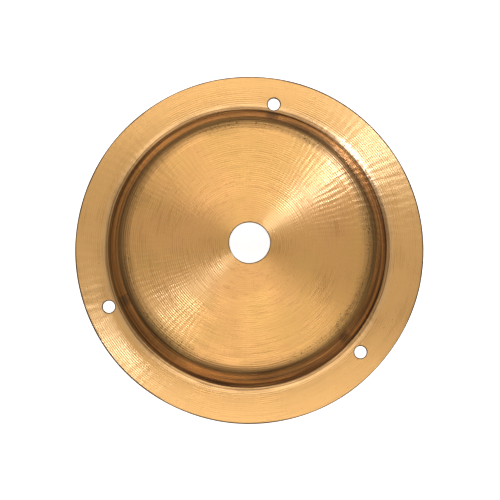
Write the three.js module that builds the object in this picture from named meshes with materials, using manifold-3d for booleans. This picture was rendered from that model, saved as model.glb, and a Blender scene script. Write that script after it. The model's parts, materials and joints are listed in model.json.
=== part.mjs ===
// A tam tam gong in brass: one sheet worked into a low crown with a wide flat flange, like a
// hat. Millimetres, +Z up. The gong lies on the flat underside of its flange with the crown up,
// and the origin is the middle of that underside, on the axis of the trimmed outline.
import * as THREE from 'three';
import { mergeVertices } from 'three/addons/utils/BufferGeometryUtils.js';
import Module from 'manifold-3d';

const wasm = await Module();
wasm.setup();

// Driving dimensions.
const OUTER_RADIUS = 127;
const OVERALL_HEIGHT = 38;
const SHEET_THICKNESS = 1.8;
const FLANGE_START_RADIUS = 106.5;
const FLARE_RADIUS = 11;
const FLARE_DEG = 36;
const CREASE_RADIUS = 2.2;
const SHOULDER_RADIUS = 12;
const WALL_LEAN_DEG = 16.5;

// The crown was worked first. The outline and the centre hole were cut by hand afterwards, so
// the crown's axis and the centre hole each lie a little off the middle of the outline.
const CROWN_AXIS = { x: -1.4, y: 0.8 };
const CENTRE_HOLE = { x: 0.2, y: 2.0, radius: 14.4 };
const TRIM_ALLOWANCE = 4;

// The cord holes in the flange were laid out by hand too, so each has its own place.
const CORD_HOLE_RADIUS = 4.4;
const CORD_HOLES = [
  { angleDeg: 80.4, distance: 107.8 },
  { angleDeg: 202.4, distance: 110.3 },
  { angleDeg: 317.1, distance: 110.1 },
];

// Facets.
const STEPS_ROUND = 96;
const STEPS_ON_SHOULDER = 7;
const STEPS_ON_CREASE = 3;
const STEPS_ON_FLARE = 4;
const STEPS_ROUND_CENTRE_HOLE = 48;
const STEPS_ROUND_CORD_HOLE = 20;

const BRASS = { color: 0xc08a4a, roughness: 0.38, metalness: 1.0 };

function toSolid(geometry) {
  const bare = geometry.clone();
  bare.deleteAttribute('normal');
  bare.deleteAttribute('uv');
  const merged = mergeVertices(bare, 1e-4);
  return new wasm.Manifold(new wasm.Mesh({
    numProp: 3,
    vertProperties: new Float32Array(merged.attributes.position.array),
    triVerts: new Uint32Array(merged.index.array),
  }));
}

function toGeometry(solid) {
  const mesh = solid.getMesh();
  const geometry = new THREE.BufferGeometry();
  geometry.setAttribute('position', new THREE.BufferAttribute(mesh.vertProperties, 3));
  geometry.setIndex(new THREE.BufferAttribute(mesh.triVerts, 1));
  geometry.computeVertexNormals();
  return geometry;
}

// The middle surface of the sheet in section, from the crown's axis out past the rim: flat top,
// bend down at the shoulder, straight leaning wall, tight bend at the crease, flare out onto the
// flat flange. Each station holds a point and the downward slope angle of the sheet there.
function sheetMiddle() {
  const wall = THREE.MathUtils.degToRad(90 - WALL_LEAN_DEG);
  const flare = THREE.MathUtils.degToRad(FLARE_DEG);
  const bends = [
    { radius: SHOULDER_RADIUS, from: 0, to: wall, steps: STEPS_ON_SHOULDER },
    { radius: CREASE_RADIUS, from: wall, to: flare, steps: STEPS_ON_CREASE },
    { radius: FLARE_RADIUS, from: flare, to: 0, steps: STEPS_ON_FLARE },
  ];
  const reach = ({ radius, from, to }) => radius * Math.abs(Math.sin(to) - Math.sin(from));
  const drop = ({ radius, from, to }) => radius * Math.abs(Math.cos(from) - Math.cos(to));
  const total = (measure) => bends.reduce((sum, bend) => sum + measure(bend), 0);

  const wallDrop = OVERALL_HEIGHT - SHEET_THICKNESS - total(drop);
  const wallReach = wallDrop / Math.tan(wall);
  let radius = FLANGE_START_RADIUS - total(reach) - wallReach;
  let height = OVERALL_HEIGHT - SHEET_THICKNESS / 2;

  const stations = [{ radius: 0, height, slope: 0 }, { radius, height, slope: 0 }];
  for (const bend of bends) {
    for (let i = 1; i <= bend.steps; i += 1) {
      const slope = bend.from + ((bend.to - bend.from) * i) / bend.steps;
      const part = { radius: bend.radius, from: bend.from, to: slope };
      stations.push({ radius: radius + reach(part), height: height - drop(part), slope });
    }
    radius += reach(bend);
    height -= drop(bend);
    if (bend.to === wall) {
      radius += wallReach;
      height -= wallDrop;
      stations.push({ radius, height, slope: wall });
    }
  }
  stations.push({ radius: OUTER_RADIUS + TRIM_ALLOWANCE, height, slope: 0 });
  return stations;
}

// The face of the sheet on one side of its middle: side is 1 for the top, -1 for the underside.
function sheetFace(stations, side) {
  const offset = (side * SHEET_THICKNESS) / 2;
  return stations.map(({ radius, height, slope }) => (
    new THREE.Vector2(radius + offset * Math.sin(slope), height + offset * Math.cos(slope))
  ));
}

// The worked sheet before trimming: a section that starts and ends on the crown's axis, turned
// about it.
function workedSheet() {
  const stations = sheetMiddle();
  const underside = sheetFace(stations, -1);
  const top = sheetFace(stations, 1).reverse();
  return new THREE.LatheGeometry([...underside, ...top], STEPS_ROUND)
    .rotateX(Math.PI / 2)
    .translate(CROWN_AXIS.x, CROWN_AXIS.y, 0);
}

// An upright round solid, used to trim the outline and to cut the holes.
function uprightCylinder(x, y, radius, height, steps) {
  return new THREE.CylinderGeometry(radius, radius, height, steps)
    .rotateX(Math.PI / 2)
    .translate(x, y, OVERALL_HEIGHT / 2);
}

function makeGongPlate() {
  const through = OVERALL_HEIGHT * 1.5;
  const outline = uprightCylinder(0, 0, OUTER_RADIUS, through, STEPS_ROUND);
  const centreHole = uprightCylinder(
    CENTRE_HOLE.x, CENTRE_HOLE.y, CENTRE_HOLE.radius, through, STEPS_ROUND_CENTRE_HOLE,
  );
  let solid = toSolid(workedSheet()).intersect(toSolid(outline)).subtract(toSolid(centreHole));
  for (const { angleDeg, distance } of CORD_HOLES) {
    const angle = THREE.MathUtils.degToRad(angleDeg);
    const x = distance * Math.cos(angle);
    const y = distance * Math.sin(angle);
    const cutter = uprightCylinder(x, y, CORD_HOLE_RADIUS, through, STEPS_ROUND_CORD_HOLE);
    solid = solid.subtract(toSolid(cutter));
  }
  const plate = new THREE.Mesh(toGeometry(solid), new THREE.MeshStandardMaterial(BRASS));
  plate.name = 'gong_plate';
  return plate;
}

const group = new THREE.Group();
group.add(makeGongPlate());

export default group;
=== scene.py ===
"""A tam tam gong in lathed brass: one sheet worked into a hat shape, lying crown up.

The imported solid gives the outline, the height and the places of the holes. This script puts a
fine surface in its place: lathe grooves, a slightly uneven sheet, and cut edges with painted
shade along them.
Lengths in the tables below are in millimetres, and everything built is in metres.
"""

import json
import math

import bmesh
import bpy
import numpy as np
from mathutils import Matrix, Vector


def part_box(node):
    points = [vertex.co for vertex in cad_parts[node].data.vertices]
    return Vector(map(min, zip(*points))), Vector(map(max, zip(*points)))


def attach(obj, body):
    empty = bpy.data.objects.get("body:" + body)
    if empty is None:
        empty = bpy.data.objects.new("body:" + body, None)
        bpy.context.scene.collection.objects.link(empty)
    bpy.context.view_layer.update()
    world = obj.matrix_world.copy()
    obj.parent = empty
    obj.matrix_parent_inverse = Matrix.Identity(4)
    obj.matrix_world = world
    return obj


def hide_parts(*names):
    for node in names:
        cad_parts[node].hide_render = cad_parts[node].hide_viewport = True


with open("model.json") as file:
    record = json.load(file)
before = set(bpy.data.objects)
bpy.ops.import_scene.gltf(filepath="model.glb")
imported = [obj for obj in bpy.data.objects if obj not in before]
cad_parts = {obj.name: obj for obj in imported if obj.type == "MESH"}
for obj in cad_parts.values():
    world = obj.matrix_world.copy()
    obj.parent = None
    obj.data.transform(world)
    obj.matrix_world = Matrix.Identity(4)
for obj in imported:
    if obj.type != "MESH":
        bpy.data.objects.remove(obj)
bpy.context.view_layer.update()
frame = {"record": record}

MM = 0.001
NODE = "gong_plate"
SEED = 20

# The section of the sheet, as in the CAD part.
node_low, node_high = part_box(NODE)
OUTER_RADIUS = (node_high.x - node_low.x) / 2 / MM
HEIGHT = node_high.z / MM
SHEET = 1.8
FLANGE_START = 106.5
FLARE_RADIUS = 11.0
FLARE_SLOPE = math.radians(36)
CREASE_RADIUS = 2.2
SHOULDER_RADIUS = 12.0
WALL_SLOPE = math.radians(73.5)
CROWN_AXIS = np.array([-1.4, 0.8])
CENTRE_HOLE_RADIUS = 14.4
CORD_HOLE_RADIUS = 4.4
CORD_HOLE_NAMES = ("cord_hole_single", "cord_hole_left", "cord_hole_right")

# The sheet was trimmed a little inside the CAD outline, and its cut edges are rounded.
TRIMMED_OFF = 0.15
EDGE_ROUND = 0.45

# How far the sheet wanders up and down, in long waves and in short ones.
LONG_WAVE_HEIGHT = 0.09
SHORT_WAVE_HEIGHT = 0.018

# Grooves that stand out from the rest: distance along the sheet, depth, half width.
BOLD_GROOVES = (
    (17.6, 0.03, 0.8),
    (40.6, 0.06, 0.7),
    (43.4, 0.08, 0.8),
    (46.6, 0.04, 0.6),
    (73.5, 0.03, 0.6),
    (81.6, 0.09, 0.45),
    (84.4, 0.10, 0.4),
    (86.6, 0.06, 0.35),
)

# The mesh: segments round the sheet, and the step between rings on each stretch of a face,
# which are the crown, the shoulder, the wall, the crease, the flare and the flange.
SEGMENTS = 240
TOP_STEPS = (0.42, 0.4, 0.9, 0.2, 0.4, 0.42)
BACK_STEPS = (1.4, 1.2, 2.4, 0.4, 0.9, 1.2)
HOLE_BAND = 4.0
RIM_BAND = 5.0
STEPS_ROUND_CORD_HOLE = 48

# The rounded edge of a cut: how far down the cut each ring is, and how far out it stands.
EDGE_PROFILE = ((0.10, 0.75), (0.28, 1.0), (0.72, 1.0), (0.90, 0.75))

# The cutter for a cord hole: height above the flange's underside, and how much wider it is.
CUTTER_PROFILE = (
    (-3.0, 0.55),
    (-0.2, 0.55),
    (0.35, 0.0),
    (1.45, 0.0),
    (2.0, 0.55),
    (5.0, 0.55),
)

# Edges are sharp from this angle between faces.
SHARP_FROM = math.radians(38)

# In metres, just under the gong's lowest spot.
FLOOR_HEIGHT = -0.00015
FLOOR_RADIUS = 6.0

# The camera looks down almost along the gong's axis. Distances are in metres.
CAMERA_TILT = math.radians(4)
CAMERA_DISTANCE = 1.2
FIELD_WIDTH = 0.3645
CAMERA_AIM = Vector((0.0005, -0.0006, 0.0))


def opening_centre(name):
    """The middle of one of the record's opening boxes, seen from above, in millimetres."""
    for opening in frame["record"]["physics"]["openings"]:
        if opening["name"] == name:
            lowest, highest = np.array(opening["box_m"])
            return ((lowest + highest) / 2 / MM)[:2]
    raise ValueError(name)


# ---- the section ---------------------------------------------------------------------------


def bend_reach(radius, first, last):
    """How far a bend between two slopes goes outwards."""
    return radius * abs(math.sin(last) - math.sin(first))


def bend_drop(radius, first, last):
    """How far a bend between two slopes goes down."""
    return radius * abs(math.cos(first) - math.cos(last))


def section_table(step=0.05):
    """Radius, height and downward slope of the middle surface, point by point outwards."""
    bends = (
        (SHOULDER_RADIUS, 0.0, WALL_SLOPE),
        (CREASE_RADIUS, WALL_SLOPE, FLARE_SLOPE),
        (FLARE_RADIUS, FLARE_SLOPE, 0.0),
    )
    wall_drop = HEIGHT - SHEET - sum(bend_drop(*bend) for bend in bends)
    wall_reach = wall_drop / math.tan(WALL_SLOPE)
    top_edge = FLANGE_START - wall_reach - sum(bend_reach(*bend) for bend in bends)
    stretches = [
        (top_edge, 0.0, 0.0),
        (SHOULDER_RADIUS * WALL_SLOPE, 0.0, WALL_SLOPE),
        (math.hypot(wall_drop, wall_reach), WALL_SLOPE, WALL_SLOPE),
        (CREASE_RADIUS * (WALL_SLOPE - FLARE_SLOPE), WALL_SLOPE, FLARE_SLOPE),
        (FLARE_RADIUS * FLARE_SLOPE, FLARE_SLOPE, 0.0),
        (OUTER_RADIUS + 4 - FLANGE_START, 0.0, 0.0),
    ]
    ends = np.cumsum([length for length, first, last in stretches])
    along = np.arange(0, ends[-1], step)
    slope = np.zeros(len(along))
    start = 0.0
    for (length, first, last), end in zip(stretches, ends):
        inside = (along >= start) & (along < end)
        slope[inside] = first + (last - first) * (along[inside] - start) / length
        start = end
    middle = (slope[1:] + slope[:-1]) / 2
    radius = np.concatenate([[0.0], np.cumsum(np.cos(middle) * step)])
    height = HEIGHT - SHEET / 2 - np.concatenate([[0.0], np.cumsum(np.sin(middle) * step)])
    return along, radius, height, slope, ends


ALONG, RADII, HEIGHTS, SLOPES, ENDS = section_table()
TOP_EDGE, WALL_FROM, CREASE_FROM, FLARE_FROM, FLANGE_FROM = ENDS[:5]


def section(along):
    """Radius, height and downward slope of the middle surface at a distance along it."""
    along = np.asarray(along, float)
    return tuple(np.interp(along, ALONG, table) for table in (RADII, HEIGHTS, SLOPES))


def along_at_radius(radius):
    """The distance along the middle surface on the flat top or the flange, for a radius."""
    radius = np.asarray(radius, float)
    return np.where(radius < FLANGE_START, radius, FLANGE_FROM + radius - FLANGE_START)


# ---- the relief ----------------------------------------------------------------------------


def groove_table(rng, length, step=0.05):
    """Depth of the lathe grooves against distance along the sheet, cell after cell.

    A cell holds one groove over a share of its width, and about one groove in eight is deeper.
    """
    depth = np.zeros(int(length / step) + 1)
    at = 0.0
    while at < length:
        pitch = rng.uniform(1.1, 2.3)
        deep = rng.uniform(0.012, 0.035) * (1.8 if rng.random() < 0.12 else 1)
        cut = rng.uniform(0.35, 0.75)
        first, last = int(at / step), min(int((at + pitch) / step), len(depth) - 1)
        share = np.linspace(0, 1, max(last - first, 2))[: last - first]
        bite = np.clip(share / cut, 0, 1)
        depth[first:last] += deep * np.sin(np.pi * bite) ** 2
        at += pitch
    places = np.arange(len(depth)) * step
    for place, deep, half_width in BOLD_GROOVES:
        depth += deep * np.exp(-(((places - place) / half_width) ** 2))
    return places, depth


def waves(rng, shortest, longest, count):
    """Random plane waves over the sheet, for its unevenness."""
    lengths = rng.uniform(shortest, longest, count)
    turns = rng.uniform(0, math.pi, count)
    shifts = rng.uniform(0, 2 * math.pi, count)
    return lengths, turns, shifts


def wave_height(x, y, set_of_waves):
    """The mean of a set of waves at a place, between -1 and 1."""
    total = np.zeros(np.broadcast(x, y).shape)
    lengths, turns, shifts = set_of_waves
    for length, turn, shift in zip(lengths, turns, shifts):
        phase = (x * math.cos(turn) + y * math.sin(turn)) * 2 * math.pi / length + shift
        total += np.sin(phase) / len(lengths)
    return total


rng = np.random.default_rng(SEED)
GROOVES = groove_table(rng, FLANGE_FROM + 30)
BACK_GROOVES = groove_table(rng, FLANGE_FROM + 30)
LONG_WAVES = waves(rng, 45, 90, 7)
SHORT_WAVES = waves(rng, 12, 24, 9)


# ---- the surface ---------------------------------------------------------------------------


def outline_radius(angles):
    """Distance from the crown's axis to the hand-cut outline."""
    wobble = 0.10 * np.sin(2 * angles + 0.6) + 0.07 * np.sin(5 * angles + 2.1)
    wobble += 0.05 * np.sin(9 * angles + 4.0) - 0.28 * bump_at(angles, 320, 13)
    return circle_from_axis(angles, np.zeros(2), OUTER_RADIUS - TRIMMED_OFF + wobble)


def hole_radius(angles):
    """Distance from the crown's axis to the edge of the hole in the crown."""
    wobble = 0.05 * np.sin(3 * angles + 1.0) + 0.04 * np.sin(7 * angles)
    return circle_from_axis(angles, opening_centre("centre_hole"), CENTRE_HOLE_RADIUS + wobble)


def bump_at(angles, degrees, width):
    """1 at an azimuth, falling away over a width in degrees."""
    apart = (np.degrees(angles) - degrees + 180) % 360 - 180
    return np.exp(-((apart / width) ** 2))


def circle_from_axis(angles, centre, radius):
    """How far a ray from the crown's axis goes to meet a circle round another centre."""
    off = CROWN_AXIS - centre
    along = off[0] * np.cos(angles) + off[1] * np.sin(angles)
    return -along + np.sqrt(along**2 - off @ off + radius**2)


def ring_stations(steps):
    """Distances along the sheet, from a little outside the centre hole to inside the rim."""
    last = along_at_radius(OUTER_RADIUS - RIM_BAND)
    ends = (
        CENTRE_HOLE_RADIUS + HOLE_BAND, TOP_EDGE, WALL_FROM, CREASE_FROM, FLARE_FROM, FLANGE_FROM,
        last,
    )
    stations = []
    for start, end, step in zip(ends, ends[1:], steps):
        count = max(int(round((end - start) / step)), 2)
        stations.extend(np.linspace(start, end, count, endpoint=False))
    stations.append(last)
    return np.array(stations)


def face_rings(side, steps, grooves):
    """One face of the sheet as a grid of points: rings from the centre hole out to the rim.

    Side is 1 for the top face and -1 for the underside. The first and last rings stop short of
    the cuts, to leave room for the rounded edges.
    """
    angles = np.arange(SEGMENTS) * 2 * math.pi / SEGMENTS
    body = np.repeat(ring_stations(steps)[:, None], SEGMENTS, axis=1)
    hole = hole_radius(angles) + EDGE_ROUND
    rim = along_at_radius(outline_radius(angles) - EDGE_ROUND)
    inner_count = max(int(round((body[0, 0] - CENTRE_HOLE_RADIUS) / steps[0])), 2)
    outer_count = max(int(round(RIM_BAND / steps[-1])), 2)
    inner = np.linspace(hole, body[0], inner_count, endpoint=False)
    outer = np.linspace(body[-1], rim, outer_count + 1)[1:]
    along = np.concatenate([inner, body, outer])

    radius, height, slope = section(along)
    x = CROWN_AXIS[0] + radius * np.cos(angles)
    y = CROWN_AXIS[1] + radius * np.sin(angles)
    lift = -np.interp(along, *grooves)
    wander = LONG_WAVE_HEIGHT * wave_height(x, y, LONG_WAVES)
    wander += SHORT_WAVE_HEIGHT * wave_height(x, y, SHORT_WAVES)
    if side > 0:
        lift -= crease(along, angles)
    offset = side * (SHEET / 2 + lift) + wander
    radius = radius + offset * np.sin(slope)
    height = height + offset * np.cos(slope)
    x = CROWN_AXIS[0] + radius * np.cos(angles)
    y = CROWN_AXIS[1] + radius * np.sin(angles)
    return np.stack([x, y, height], axis=-1)


def crease(along, angles):
    """Depth of the two sharp lines that the tool left, at the crease and on the flare."""
    apart = along - (CREASE_FROM + 0.5 + 0.15 * np.sin(3 * angles))
    second = along - (FLARE_FROM + 1.9 + 0.2 * np.sin(2 * angles + 1.0))
    return 0.12 * np.exp(-((apart / 0.4) ** 2)) + 0.09 * np.exp(-((second / 0.5) ** 2))


def edge_rings(first, last, outwards):
    """The rings of a rounded cut between the edges of two faces; outwards is 1 or -1."""
    rings = []
    for share, stands_out in EDGE_PROFILE:
        ring = first * (1 - share) + last * share
        radial = ring[:, :2] - CROWN_AXIS
        reach = outwards * EDGE_ROUND * stands_out
        ring[:, :2] += reach * radial / np.linalg.norm(radial, axis=1)[:, None]
        rings.append(ring)
    return rings


def band(first, second, around):
    """The faces between two rings of a mesh, each of them a number of points round the axis."""
    faces = []
    for k in range(around):
        turn = (k + 1) % around
        faces.append((
            first * around + k,
            second * around + k,
            second * around + turn,
            first * around + turn,
        ))
    return faces


def sheet_mesh():
    """The whole sheet as one closed surface: top face, rim, underside, centre hole."""
    top = face_rings(1, TOP_STEPS, GROOVES)
    back = face_rings(-1, BACK_STEPS, BACK_GROOVES)[::-1]
    rim = edge_rings(top[-1], back[0], 1)
    hole = edge_rings(back[-1], top[0], -1)
    rings = [*top, *rim, *back, *hole]
    cut_rows = set()
    for start in (len(top) - 1, len(top) + len(rim) + len(back) - 1):
        cut_rows.update(range(start, start + len(rim) + 1))

    points = np.concatenate(rings) * MM
    faces, slots = [], []
    for row in range(len(rings)):
        faces.extend(band(row, (row + 1) % len(rings), SEGMENTS))
        slots.extend([1 if row in cut_rows else 0] * SEGMENTS)
    mesh = bpy.data.meshes.new("gong_sheet")
    mesh.from_pydata(points.tolist(), [], faces)
    mesh.polygons.foreach_set("material_index", slots)
    mesh.update()
    return mesh


def cord_hole_cutter(centre):
    """An upright cutter, wider where it leaves the sheet, so that the hole's edges are eased."""
    around = STEPS_ROUND_CORD_HOLE
    points, faces = [], []
    for level, wider in CUTTER_PROFILE:
        reach = CORD_HOLE_RADIUS + wider
        for k in range(around):
            angle = 2 * math.pi * k / around
            points.append((
                (centre[0] + reach * math.cos(angle)) * MM,
                (centre[1] + reach * math.sin(angle)) * MM,
                level * MM,
            ))
    for row in range(len(CUTTER_PROFILE) - 1):
        faces.extend(band(row + 1, row, around))
    faces.append(tuple(reversed(range(around))))
    faces.append(tuple(range(len(points) - around, len(points))))
    mesh = bpy.data.meshes.new("cord_hole_cutter")
    mesh.from_pydata(points, [], faces)
    return mesh


def cut_cord_holes(sheet, brass, cut_edge):
    """Cuts the three cord holes through the flange."""
    cutters = []
    for name in CORD_HOLE_NAMES:
        mesh = cord_hole_cutter(opening_centre(name))
        mesh.materials.append(brass)
        mesh.materials.append(cut_edge)
        mesh.polygons.foreach_set("material_index", [1] * len(mesh.polygons))
        cutter = bpy.data.objects.new("cutter", mesh)
        bpy.context.scene.collection.objects.link(cutter)
        cut = sheet.modifiers.new("cord_hole", "BOOLEAN")
        cut.operation = "DIFFERENCE"
        cut.solver = "MANIFOLD"
        cut.object = cutter
        cutters.append(cutter)
    graph = bpy.context.evaluated_depsgraph_get()
    whole = bpy.data.meshes.new_from_object(sheet.evaluated_get(graph))
    sheet.modifiers.clear()
    sheet.data = whole
    for cutter in cutters:
        bpy.data.objects.remove(cutter)


def make_gong(brass, cut_edge):
    """The finished sheet, smooth but for its cut edges."""
    sheet = bpy.data.objects.new("gong", sheet_mesh())
    bpy.context.scene.collection.objects.link(sheet)
    sheet.data.materials.append(brass)
    sheet.data.materials.append(cut_edge)
    cut_cord_holes(sheet, brass, cut_edge)
    sheet.data.polygons.foreach_set("use_smooth", [True] * len(sheet.data.polygons))
    sheet.data.set_sharp_from_angle(angle=SHARP_FROM)
    return sheet


# ---- materials -----------------------------------------------------------------------------

# The brass on the crown lies between three near shades. The flange is painted paler, a painted
# sheen for the light it catches, and the flare between it and the wall the palest, a painted
# highlight.
BRASS_COLOUR = (0.86, 0.475, 0.17, 1.0)
BRASS_PINK = (0.86, 0.455, 0.175, 1.0)
BRASS_OLIVE = (0.82, 0.485, 0.155, 1.0)
# Painted sheen on the flange.
BRASS_PALE = (0.96, 0.57, 0.22, 1.0)
# Painted highlight on the flare.
BRASS_FLARE_HIGHLIGHT = (0.98, 0.70, 0.42, 1.0)

# Darker brass for the grooves and, as painted shade, for the crown's edge; a near black for the
# pits and for painted shade on the wall and in the creases; painted shade along the cut edges and
# on the cut faces.
BRASS_DARK = (0.34, 0.165, 0.05, 1.0)
# Near black for the pits, and painted shade on the wall and in the creases.
RESIDUE_AND_SHADE = (0.11, 0.052, 0.026, 1.0)
# Painted shade along the cut edges.
EDGE_SHADE = (0.035, 0.02, 0.012, 1.0)
CUT_DARK = (0.10, 0.05, 0.02, 1.0)
CUT_LIGHT = (0.24, 0.12, 0.04, 1.0)

# Radii in millimetres, from the crown's axis.
WALL_TOP = (81.5, 95.0)
WALL_FOOT = (100.6, 102.6)
PALER_FROM_TO = (101.0, 107.0)
# Painted shade: where the dark lines in the creases lie, and how dark they are.
CREASE_LINES = ((100.8, 0.5), (103.0, 0.6))
HOLE_MARGIN = 0.35

# The lathe marks: pitch of the even grooves in millimetres, and faint radial marks per turn.
# The depths of the marks are in metres.
GROOVE_PITCH = 1.45
SPOKES = 120
RELIEF_DEPTH = 0.00014
STREAK_DEPTH = 0.00007
SPOKE_DEPTH = 0.000012
FINE_STREAK_DEPTH = 0.00002

# The face tilts a little from flat, in the shading only: a dome on the crown out to its edge,
# a rise of the flange, and the lathe marks' own turn on the flange.
CROWN_DOME = 0.00028
DOME_EDGE = 86.0
FLANGE_RISE = 0.045
FLANGE_TILT_FROM = 107.0
FLANGE_TWIST = math.radians(4.5)
ANISOTROPY = 0.9


class Nodes:
    """Short ways to add nodes to a material's tree."""

    def __init__(self, name):
        self.material = bpy.data.materials.new(name)
        self.material.use_nodes = True
        self.tree = self.material.node_tree
        self.tree.nodes.clear()
        self.output = self.tree.nodes.new("ShaderNodeOutputMaterial")

    def add(self, kind, **settings):
        node = self.tree.nodes.new(kind)
        for key, value in settings.items():
            setattr(node, key, value)
        return node

    def put(self, socket, value):
        """Links an output socket, or sets a plain value."""
        if isinstance(value, bpy.types.NodeSocket):
            self.tree.links.new(value, socket)
        else:
            socket.default_value = value

    def maths(self, operation, a, b=None, clamp=False):
        node = self.add("ShaderNodeMath", operation=operation, use_clamp=clamp)
        for socket, value in zip(node.inputs, (a, b)):
            if value is not None:
                self.put(socket, value)
        return node.outputs[0]

    def total(self, *values):
        """The sum of several values."""
        result = values[0]
        for value in values[1:]:
            result = self.maths("ADD", result, value)
        return result

    def product(self, *values):
        """Several values multiplied together."""
        result = values[0]
        for value in values[1:]:
            result = self.maths("MULTIPLY", result, value)
        return result

    def vector_maths(self, operation, a, b=None, scale=None):
        node = self.add("ShaderNodeVectorMath", operation=operation)
        self.put(node.inputs[0], a)
        if b is not None:
            self.put(node.inputs[1], b)
        if scale is not None:
            self.put(node.inputs["Scale"], scale)
        return node.outputs["Value" if operation == "LENGTH" else "Vector"]

    def combine(self, x, y, z):
        node = self.add("ShaderNodeCombineXYZ")
        for socket, value in zip(node.inputs, (x, y, z)):
            self.put(socket, value)
        return node.outputs[0]

    def turned(self, vector, angle):
        """A vector turned about the upright axis."""
        node = self.add("ShaderNodeVectorRotate", rotation_type="Z_AXIS")
        self.put(node.inputs["Vector"], vector)
        self.put(node.inputs["Angle"], angle)
        return node.outputs[0]

    def noise(self, vector, scale, detail=2.0, roughness=0.5):
        node = self.add("ShaderNodeTexNoise")
        self.put(node.inputs["Vector"], vector)
        self.put(node.inputs["Scale"], scale)
        self.put(node.inputs["Detail"], detail)
        self.put(node.inputs["Roughness"], roughness)
        return node.outputs["Fac"]

    def remap(self, value, from_low, from_high, to_low, to_high, smooth=False):
        node = self.add("ShaderNodeMapRange", clamp=True)
        if smooth:
            node.interpolation_type = "SMOOTHSTEP"
        for socket, number in zip(node.inputs, (value, from_low, from_high, to_low, to_high)):
            self.put(socket, number)
        return node.outputs[0]

    def mix(self, share, a, b):
        node = self.add("ShaderNodeMix", data_type="RGBA")
        self.put(node.inputs[0], share)
        self.put(node.inputs[6], a)
        self.put(node.inputs[7], b)
        return node.outputs[2]

    def bump(self, height, distance, before=None):
        """A normal tilted by the slopes of a height, on top of the one before."""
        node = self.add("ShaderNodeBump")
        self.put(node.inputs["Strength"], 1.0)
        self.put(node.inputs["Distance"], distance)
        self.put(node.inputs["Height"], height)
        if before is not None:
            self.put(node.inputs["Normal"], before)
        return node.outputs[0]


class LatheMarks:
    """Where a point lies about the crown's axis, and the patterns that the lathe left there."""

    def __init__(self, n):
        self.n = n
        self.position = n.add("ShaderNodeTexCoord").outputs["Object"]
        axis = (CROWN_AXIS[0] * MM, CROWN_AXIS[1] * MM, 0.0)
        from_axis = n.vector_maths("SUBTRACT", self.position, axis)
        flat = n.vector_maths("MULTIPLY", from_axis, (1.0, 1.0, 0.0))
        self.radius = n.maths("DIVIDE", n.vector_maths("LENGTH", flat), MM)
        self.outward = n.vector_maths("NORMALIZE", flat)
        split = n.add("ShaderNodeSeparateXYZ")
        n.put(split.inputs[0], self.outward)
        self.cos_out, self.sin_out = split.outputs[0], split.outputs[1]

        self.fine_rings = self.rings(0.95, 3.0, roughness=0.6)
        self.grooves = self.even_grooves()
        self.blotches = n.noise(self.position, 22.0, detail=4.0, roughness=0.6)
        self.patches = n.remap(n.noise(self.position, 34.0), 0.42, 0.6, 0.25, 1.0)

    def rings(self, per_mm, around, **options):
        """Noise drawn out along the grooves."""
        n = self.n
        vector = n.combine(
            n.product(self.radius, per_mm),
            n.product(self.cos_out, around),
            n.product(self.sin_out, around),
        )
        return n.noise(vector, 1.0, **options)

    def rays(self, around, per_mm, curl, **options):
        """Noise drawn out from the centre outwards, in lines that curl a little."""
        n = self.n
        curled = n.turned(self.outward, n.product(self.radius, curl))
        drawn_out = n.vector_maths("SCALE", curled, scale=around)
        rise = n.combine(0.0, 0.0, n.total(n.product(self.radius, per_mm), 5.0))
        return n.noise(n.vector_maths("ADD", drawn_out, rise), 1.0, detail=1.0, **options)

    def even_grooves(self):
        """Evenly pitched grooves, as a wave across the radius that wanders a little."""
        n = self.n
        wander = n.product(n.noise(self.position, 26.0), 2.6)
        turns = n.product(n.total(self.radius, wander), 2 * math.pi / GROOVE_PITCH)
        return n.maths("SINE", turns)

    def spokes(self):
        """Faint radial marks, as a wave round the axis that sways a little."""
        n = self.n
        azimuth = n.maths("ARCTAN2", self.sin_out, self.cos_out)
        sway = n.product(n.noise(self.position, 30.0), 14.0)
        return n.maths("SINE", n.total(n.product(azimuth, SPOKES), sway))

    def uneven(self, reach_in, reach_out):
        """A distance in millimetres that varies from blotch to blotch."""
        return self.n.remap(self.blotches, 0.3, 0.7, reach_in, reach_out)


def gap_to_cut_edges(n, position):
    """Distance in mm from the nearest cut edge, seen from above."""
    cuts = [(np.zeros(2), OUTER_RADIUS, -1)]
    cuts.append((opening_centre("centre_hole"), CENTRE_HOLE_RADIUS - HOLE_MARGIN, 1))
    for name in CORD_HOLE_NAMES:
        cuts.append((opening_centre(name), CORD_HOLE_RADIUS - HOLE_MARGIN, 1))
    gap = None
    for centre, radius, side in cuts:
        away = n.vector_maths("SUBTRACT", position, (centre[0] * MM, centre[1] * MM, 0.0))
        away = n.vector_maths("LENGTH", n.vector_maths("MULTIPLY", away, (1.0, 1.0, 0.0)))
        away = n.product(n.maths("SUBTRACT", away, radius * MM), side / MM)
        gap = away if gap is None else n.maths("MINIMUM", gap, away)
    return gap


def edge_shade_zone(n, marks):
    """1 on the band along the cut edges that is painted dark as shade, 0 elsewhere."""
    gap = n.total(gap_to_cut_edges(n, marks.position), marks.uneven(-0.15, 0.3))
    return n.remap(gap, 0.8, 1.3, 1.0, 0.0, smooth=True)


def crown_edge_zone(n, marks):
    """Up to 1 near the edge of the crown, in blotches, where pits and residue gather."""
    return n.product(
        n.remap(marks.radius, 78.0, 86.0, 0.0, 1.0, smooth=True),
        n.remap(marks.radius, 87.0, 92.0, 1.0, 0.0, smooth=True),
        n.remap(marks.blotches, 0.42, 0.58, 0.2, 1.0),
    )


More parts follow.
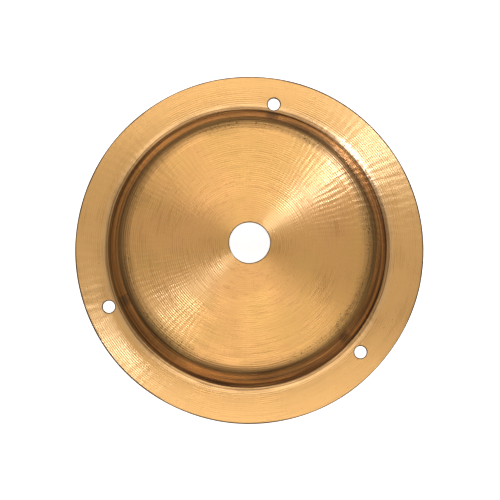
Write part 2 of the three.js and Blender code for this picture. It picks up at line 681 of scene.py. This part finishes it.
def brass_tone_and_painted_light(n, marks):
    """The brass colour: shaded by blotches on the crown, with painted shade towards the crown's
    edge, a painted sheen on the flange and a painted highlight on the flare.
    """
    radius = marks.radius
    hue = n.remap(marks.blotches, 0.38, 0.62, 0.0, 1.0)
    colour = n.mix(hue, BRASS_PINK, BRASS_OLIVE)
    colour = n.mix(0.4, colour, BRASS_COLOUR)
    # Painted shade: the crown darkens towards its edge.
    colour = n.mix(n.remap(radius, 50.0, 88.0, 0.0, 0.10), colour, BRASS_DARK)
    # Painted sheen: the flange is paler.
    colour = n.mix(n.remap(radius, *PALER_FROM_TO, 0.0, 0.9), colour, BRASS_PALE)
    # Painted highlight: the flare is the palest.
    flare = n.product(
        n.remap(radius, 100.5, 103.0, 0.0, 1.0),
        n.remap(radius, 104.5, 108.5, 0.28, 0.0),
    )
    return n.mix(flare, colour, BRASS_FLARE_HIGHLIGHT)


def groove_darkening(n, marks):
    """How much darker the grooves are painted, in patches and less on the flange."""
    in_rings = n.remap(marks.fine_rings, 0.36, 0.5, 0.3, 0.0)
    in_grooves = n.remap(marks.grooves, 0.0, 1.0, 0.0, 0.16)
    on_flange = n.remap(marks.radius, 100.0, 108.0, 1.0, 0.7)
    return n.product(n.total(in_rings, in_grooves), marks.patches, on_flange)


def painted_wall_shade(n, marks):
    """How dark the wall is painted, in rings: painted shade, more of it on the near side."""
    top = n.remap(n.total(marks.radius, marks.uneven(-3.0, 3.0)), *WALL_TOP, 0.0, 1.0)
    foot = n.remap(marks.radius, *WALL_FOOT, 1.0, 0.0)
    in_rings = n.remap(marks.rings(0.6, 1.0), 0.38, 0.62, 0.18, 0.88)
    # Painted shade: the near side of the wall is darker still.
    near_side = n.product(
        n.remap(marks.sin_out, -1.0, 0.2, 0.25, 0.0),
        n.remap(marks.radius, 89.0, 96.0, 0.0, 1.0),
    )
    return n.product(top, foot, n.total(in_rings, near_side))


def with_crease_lines(n, marks, colour):
    """Dark lines painted where the wall meets the flare: painted shade in the creases."""
    wavy = n.total(marks.radius, marks.uneven(-0.35, 0.35))
    # Painted shade in the creases.
    for place, darkness in CREASE_LINES:
        apart = n.maths("ABSOLUTE", n.maths("SUBTRACT", wavy, place))
        colour = n.mix(n.remap(apart, 0.25, 0.7, darkness, 0.0), colour, RESIDUE_AND_SHADE)
    return colour


def pits(n, marks, crown_edge):
    """How dark the pits are: single specks, more of them near the crown's edge."""
    specks = marks.rings(1.25, 62.0, roughness=0.6)
    threshold = n.maths("SUBTRACT", 0.70, n.product(crown_edge, 0.14))
    inside = n.maths("MULTIPLY", n.maths("SUBTRACT", specks, threshold), 14.0, clamp=True)
    return n.product(inside, 0.85)


def brass_colour(n, marks, edge_shade, crown_edge):
    colour = n.mix(groove_darkening(n, marks), brass_tone_and_painted_light(n, marks), BRASS_DARK)
    # Painted shade on the wall, in rings.
    colour = n.mix(painted_wall_shade(n, marks), colour, RESIDUE_AND_SHADE)
    colour = with_crease_lines(n, marks, colour)
    colour = n.mix(pits(n, marks, crown_edge), colour, RESIDUE_AND_SHADE)
    # Painted shade along the cut edges.
    return n.mix(edge_shade, colour, EDGE_SHADE)


def brass_roughness(n, marks, edge_shade, crown_edge):
    return n.total(
        n.remap(marks.fine_rings, 0.3, 0.7, 0.26, 0.32),
        marks.uneven(-0.02, 0.03),
        n.product(crown_edge, 0.10),
        n.product(edge_shade, 0.25),
        n.remap(marks.radius, 108.0, 120.0, 0.0, 0.055),
    )


def brass_normal(n, marks):
    """The relief that is too fine for the mesh, from the rings to the radial streaks."""
    radius = marks.radius
    relief = n.total(n.product(marks.fine_rings, 0.6), n.product(marks.grooves, 0.42))
    normal = n.bump(n.product(relief, marks.patches), RELIEF_DEPTH)

    flange = n.product(n.maths("MAXIMUM", radius, FLANGE_TILT_FROM), FLANGE_RISE)
    inside = n.maths("MINIMUM", radius, DOME_EDGE)
    dome = n.product(inside, inside, CROWN_DOME)
    normal = n.bump(n.maths("SUBTRACT", flange, dome), MM, normal)

    spread = n.product(
        n.remap(radius, 0.0, 84.0, 0.1, 1.25),
        n.remap(radius, 101.0, 106.0, 1.0, 0.9),
    )
    radial_marks = (
        (marks.rays(34.0, 0.02, 0.0022, roughness=0.6), STREAK_DEPTH),
        (marks.spokes(), SPOKE_DEPTH),
        (marks.rays(90.0, 0.09, -0.0012), FINE_STREAK_DEPTH),
    )
    for height, depth in radial_marks:
        normal = n.bump(n.product(height, spread), depth, normal)
    return normal


def brass_material():
    """Lathed brass. Its highlights run across the grooves, so they fan out from the centre."""
    n = Nodes("lathed_brass")
    marks = LatheMarks(n)
    edge_shade = edge_shade_zone(n, marks)
    crown_edge = crown_edge_zone(n, marks)
    twist = n.remap(marks.radius, 103.0, 108.0, 0.0, FLANGE_TWIST)
    shader = n.add("ShaderNodeBsdfPrincipled")
    n.put(shader.inputs["Base Color"], brass_colour(n, marks, edge_shade, crown_edge))
    n.put(shader.inputs["Metallic"], 1.0)
    n.put(shader.inputs["Roughness"], brass_roughness(n, marks, edge_shade, crown_edge))
    n.put(shader.inputs["Anisotropic"], ANISOTROPY)
    n.put(shader.inputs["Tangent"], n.turned(marks.outward, twist))
    n.put(shader.inputs["Normal"], brass_normal(n, marks))
    n.put(n.output.inputs["Surface"], shader.outputs[0])
    return n.material


def cut_edge_material():
    """The sawn and filed metal on the rim and in the holes: dull and grainy, and dark as painted
    shade.
    """
    n = Nodes("cut_edge_brass")
    position = n.add("ShaderNodeTexCoord").outputs["Object"]
    grain = n.noise(position, 700.0, detail=3.0)
    shader = n.add("ShaderNodeBsdfPrincipled")
    # Painted shade: the cut faces are dark.
    n.put(shader.inputs["Base Color"], n.mix(grain, CUT_DARK, CUT_LIGHT))
    n.put(shader.inputs["Metallic"], 0.8)
    n.put(shader.inputs["Roughness"], 0.6)
    n.put(n.output.inputs["Surface"], shader.outputs[0])
    return n.material


def floor_material():
    """White paper that glows a little, so that it stays white away from the lamps."""
    n = Nodes("studio_floor")
    glow = n.add("ShaderNodeEmission")
    n.put(glow.inputs["Color"], (1.0, 1.0, 1.0, 1.0))
    n.put(glow.inputs["Strength"], 0.9)
    paper = n.add("ShaderNodeBsdfDiffuse")
    n.put(paper.inputs["Color"], (0.85, 0.85, 0.85, 1.0))
    both = n.add("ShaderNodeAddShader")
    n.put(both.inputs[0], glow.outputs[0])
    n.put(both.inputs[1], paper.outputs[0])
    n.put(n.output.inputs["Surface"], both.outputs[0])
    return n.material


# ---- the studio ----------------------------------------------------------------------------


# A strip lamp makes the fans of light, and two wide soft boxes light the far and near sides.
KEY_COLOUR = (0.75, 1.0, 1.75)
BOX_COLOUR = (1.0, 0.98, 0.97)

# Brightness of the room against height, from 0 straight below to 1 straight above.
ROOM_STOPS = ((0.49, 0.11), (0.53, 0.20), (0.76, 0.28), (0.93, 0.65))


def make_floor():
    """A plain floor out past the camera's view, which the brass doesn't mirror."""
    bm = bmesh.new()
    bmesh.ops.create_circle(bm, cap_ends=True, segments=96, radius=FLOOR_RADIUS)
    mesh = bpy.data.meshes.new("studio_floor")
    bm.to_mesh(mesh)
    bm.free()
    mesh.materials.append(floor_material())
    floor = bpy.data.objects.new("studio_floor", mesh)
    floor.location.z = FLOOR_HEIGHT
    bpy.context.scene.collection.objects.link(floor)
    floor.visible_glossy = False


def aim(obj, target):
    """Turns a lamp to face a point."""
    direction = Vector(target) - obj.location
    obj.rotation_mode = "QUATERNION"
    obj.rotation_quaternion = direction.to_track_quat("-Z", "Y")


def soft_light(name, azimuth, zenith, distance, width, depth, radiance, colour):
    """A rectangular lamp that faces the gong.

    It hangs at an azimuth from +X towards +Y and at an angle down from straight above, both in
    degrees. Lengths are in metres, and the lamp's face has the same radiance whatever its size.
    """
    lamp = bpy.data.lights.new(name, "AREA")
    lamp.shape = "RECTANGLE"
    lamp.size = width
    lamp.size_y = depth
    lamp.energy = radiance * math.pi * width * depth
    lamp.color = colour
    obj = bpy.data.objects.new(name, lamp)
    turn, down = math.radians(azimuth), math.radians(zenith)
    obj.location = distance * Vector((
        math.cos(turn) * math.sin(down), math.sin(turn) * math.sin(down), math.cos(down),
    ))
    aim(obj, (0, 0, 0.02))
    obj.visible_camera = False
    bpy.context.scene.collection.objects.link(obj)


def make_lights():
    soft_light("key", 47, 33.5, 2.4, 0.11, 0.44, 50.0, KEY_COLOUR)
    soft_light("far_box", 86, 33, 1.9, 2.3, 0.9, 1.42, BOX_COLOUR)
    soft_light("near_box", 277, 33, 1.9, 2.4, 0.9, 1.56, BOX_COLOUR)


def make_world():
    """A plain room that grows brighter towards the ceiling."""
    world = bpy.data.worlds.new("studio")
    bpy.context.scene.world = world
    world.use_nodes = True
    tree = world.node_tree
    tree.nodes.clear()
    coordinates = tree.nodes.new("ShaderNodeTexCoord")
    split = tree.nodes.new("ShaderNodeSeparateXYZ")
    tree.links.new(coordinates.outputs["Generated"], split.inputs[0])
    ramp = tree.nodes.new("ShaderNodeValToRGB")
    shift = tree.nodes.new("ShaderNodeMapRange")
    tree.links.new(split.outputs[2], shift.inputs[0])
    shift.inputs[1].default_value = -1.0
    tree.links.new(shift.outputs[0], ramp.inputs[0])
    for position, level in ROOM_STOPS[2:]:
        ramp.color_ramp.elements.new(position)
    for element, (position, level) in zip(ramp.color_ramp.elements, ROOM_STOPS):
        element.position = position
        element.color = (level, level * 0.95, level * 0.88, 1)
    background = tree.nodes.new("ShaderNodeBackground")
    tree.links.new(ramp.outputs[0], background.inputs[0])
    output = tree.nodes.new("ShaderNodeOutputWorld")
    tree.links.new(background.outputs[0], output.inputs[0])


def make_camera():
    """A camera at a fixed distance whose view is FIELD_WIDTH wide at the floor's level."""
    camera = bpy.data.cameras.new("camera")
    camera.sensor_width = 36.0
    camera.lens = camera.sensor_width / 2 / (FIELD_WIDTH / 2 / CAMERA_DISTANCE)
    obj = bpy.data.objects.new("camera", camera)
    back = Vector((0, -math.sin(CAMERA_TILT), math.cos(CAMERA_TILT)))
    obj.location = CAMERA_AIM + CAMERA_DISTANCE * back
    obj.rotation_mode = "QUATERNION"
    obj.rotation_quaternion = (-back).to_track_quat("-Z", "Y")
    bpy.context.scene.collection.objects.link(obj)
    bpy.context.scene.camera = obj


make_camera()
make_floor()
make_world()
make_lights()
gong = make_gong(brass_material(), cut_edge_material())
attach(gong, "root")
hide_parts(NODE)
bpy.context.scene.view_settings.view_transform = "Standard"
